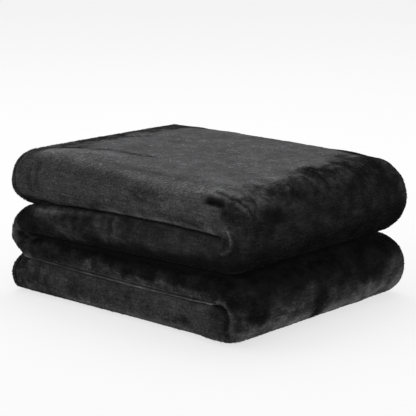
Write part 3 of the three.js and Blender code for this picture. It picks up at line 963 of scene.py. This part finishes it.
def plush_material():
    material = bpy.data.materials.new("black plush")
    material.use_nodes = True
    nodes = material.node_tree.nodes
    links = material.node_tree.links
    shader = nodes["Principled BSDF"]
    set_inputs(shader, {
        "Roughness": 0.92,
        "Specular IOR Level": 0.03,
        "Sheen Weight": 0.04,
        "Sheen Roughness": 0.35,
        "Sheen Tint": (0.75, 0.75, 0.77, 1),
    })

    place = nodes.new("ShaderNodeTexCoord").outputs["Object"]

    def attribute_node(name):
        node = nodes.new("ShaderNodeAttribute")
        node.attribute_name = name
        return node.outputs["Fac"]

    def mapping_node(turn, scale):
        node = nodes.new("ShaderNodeMapping")
        set_inputs(node, {"Rotation": turn, "Scale": scale})
        links.new(place, node.inputs["Vector"])
        return node.outputs["Vector"]

    def noise_node(vector, scale, detail):
        node = nodes.new("ShaderNodeTexNoise")
        set_inputs(node, {"Scale": scale, "Detail": detail, "Roughness": 0.6})
        links.new(vector, node.inputs["Vector"])
        return node.outputs["Fac"]

    def math_node(operation, a, b):
        node = nodes.new("ShaderNodeMath")
        node.operation = operation
        for socket, value in zip(node.inputs, (a, b)):
            if isinstance(value, (int, float)):
                socket.default_value = value
            else:
                links.new(value, socket)
        return node.outputs["Value"]

    def map_node(value, given, wanted):
        node = nodes.new("ShaderNodeMapRange")
        node.interpolation_type = "SMOOTHSTEP"
        set_inputs(node, {"From Min": given[0], "From Max": given[1]})
        set_inputs(node, {"To Min": wanted[0], "To Max": wanted[1]})
        links.new(value, node.inputs["Value"])
        return node.outputs["Result"]

    def around_zero(value, amount):
        return math_node("MULTIPLY", math_node("SUBTRACT", value, 0.5), amount)

    # Where the pile is mottled, it lies in light and dark clouds and smaller flecks. All over
    # it has a fine grain, ribs along the strip's sides and brush streaks across the top.
    clouds = map_node(noise_node(place, scale=62.0, detail=5.0), (0.34, 0.66), (-0.24, 0.24))
    flecks = around_zero(noise_node(place, scale=190.0, detail=3.0), 0.5)
    mottled = math_node("MULTIPLY", math_node("ADD", clouds, flecks), attribute_node("mottle"))
    level = attribute_node("level")
    across = mapping_node((0, 0, 0), (0.1, 0.1, 1))
    brushed = mapping_node((0, 0, math.radians(-39)), (0.45, 1, 1))
    upright = map_node(level, (0.0, 1.0), (1.0, 0.0))
    ribs = math_node("MULTIPLY", around_zero(noise_node(across, scale=460.0, detail=2.0), 0.42), upright)
    streaks = math_node("MULTIPLY", around_zero(noise_node(brushed, scale=190.0, detail=3.0), 0.3), level)
    grain = around_zero(noise_node(place, scale=800.0, detail=2.0), 0.8)
    grain = math_node("MULTIPLY", grain, map_node(level, (0.0, 1.0), (1.0, 0.3)))
    shade = attribute_node("tone")
    for change in (mottled, ribs, streaks, grain):
        shade = math_node("ADD", shade, change)

    ramp = nodes.new("ShaderNodeValToRGB")
    ramp.color_ramp.interpolation = "LINEAR"
    stops = [(0.0, 0.0042), (0.2, 0.0105), (0.4, 0.024), (0.6, 0.054), (0.8, 0.122), (1.0, 0.2)]
    elements = ramp.color_ramp.elements
    while len(elements) < len(stops):
        elements.new(0.5)
    for element, (position, grey) in zip(elements, stops):
        element.position = position
        element.color = (grey, grey, grey * 1.02, 1)
    links.new(math_node("MULTIPLY", shade, 0.8), ramp.inputs["Fac"])
    links.new(ramp.outputs["Color"], shader.inputs["Base Color"])

    pile = math_node(
        "ADD",
        noise_node(place, scale=600.0, detail=2.0),
        math_node("MULTIPLY", noise_node(place, scale=220.0, detail=2.0), 1.5),
    )
    bump = nodes.new("ShaderNodeBump")
    set_inputs(bump, {"Strength": 0.35, "Distance": MM})
    links.new(pile, bump.inputs["Height"])
    links.new(bump.outputs["Normal"], shader.inputs["Normal"])
    return material


# The camera's place, fitted to the outline of the block in the photograph.
CAMERA_AZIMUTH = 41.465
CAMERA_ELEVATION = 13.445
CAMERA_DISTANCE = 1.6159
CAMERA_AIM_RIGHT = -0.00107
CAMERA_AIM_UP = 0.01633
CAMERA_CENTRE_HEIGHT = 0.07
IMAGE_WIDTH = 416
FOCAL_PIXELS = 1615.9


# Puts a camera or a light in its place, facing its target.
def aim(item, place, target):
    item.location = place
    item.rotation_euler = (Vector(target) - Vector(place)).to_track_quat("-Z", "Y").to_euler()


def place_camera():
    azimuth = math.radians(CAMERA_AZIMUTH)
    elevation = math.radians(CAMERA_ELEVATION)
    back = Vector((
        math.sin(azimuth) * math.cos(elevation),
        -math.cos(azimuth) * math.cos(elevation),
        math.sin(elevation),
    ))
    right = Vector((math.cos(azimuth), math.sin(azimuth), 0))
    up = back.cross(right)
    centre = Vector((0, 0, CAMERA_CENTRE_HEIGHT))
    eye = centre + back * CAMERA_DISTANCE
    target = centre + right * CAMERA_AIM_RIGHT + up * CAMERA_AIM_UP
    data = bpy.data.cameras.new("camera")
    data.sensor_width = 36
    data.lens = FOCAL_PIXELS / IMAGE_WIDTH * data.sensor_width
    data.clip_end = 20
    camera = add_object("camera", data)
    aim(camera, eye, target)
    bpy.context.scene.camera = camera


# Soft studio lights: name, place, target, width, height and power in watts.
LIGHTS = [
    ("overhead", (-0.5, 0.5, 1.9), (0, 0, 0.1), 1.6, 1.6, 22),
    ("front left", (-1.6, -1.5, 0.9), (0, 0, 0.07), 1.0, 1.0, 9),
]


def place_lights():
    for name, place, target, width, height, power in LIGHTS:
        data = bpy.data.lights.new(name, "AREA")
        data.shape = "RECTANGLE"
        data.size = width
        data.size_y = height
        data.energy = power
        aim(add_object(name, data), place, target)

    world = bpy.data.worlds.new("studio")
    world.use_nodes = True
    background = world.node_tree.nodes["Background"]
    set_inputs(background, {"Color": (0.93, 0.93, 0.935, 1), "Strength": 1.0})
    bpy.context.scene.world = world


def place_floor():
    material = bpy.data.materials.new("pale floor")
    material.use_nodes = True
    set_inputs(material.node_tree.nodes["Principled BSDF"], {
        "Base Color": (0.2, 0.2, 0.2, 1),
        "Roughness": 1.0,
        "Specular IOR Level": 0.0,
        "Emission Color": (1, 1, 1, 1),
        "Emission Strength": 0.7,
    })
    mesh = bpy.data.meshes.new("floor")
    reach = 8
    corners = [(-reach, -reach, 0), (reach, -reach, 0), (reach, reach, 0), (-reach, reach, 0)]
    mesh.from_pydata(corners, [], [(0, 1, 2, 3)])
    mesh.materials.append(material)
    floor = add_object("floor", mesh)


def main():
    bpy.context.scene.view_settings.view_transform = "Standard"
    place_camera()
    place_lights()
    place_floor()
    plush = plush_material()
    cloth = make_cloth(plush)
    pile = make_pile(cloth, plush)
    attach(cloth, "root")
    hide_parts("blanket")
    for piece in pile:
        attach(piece, "root")


main()
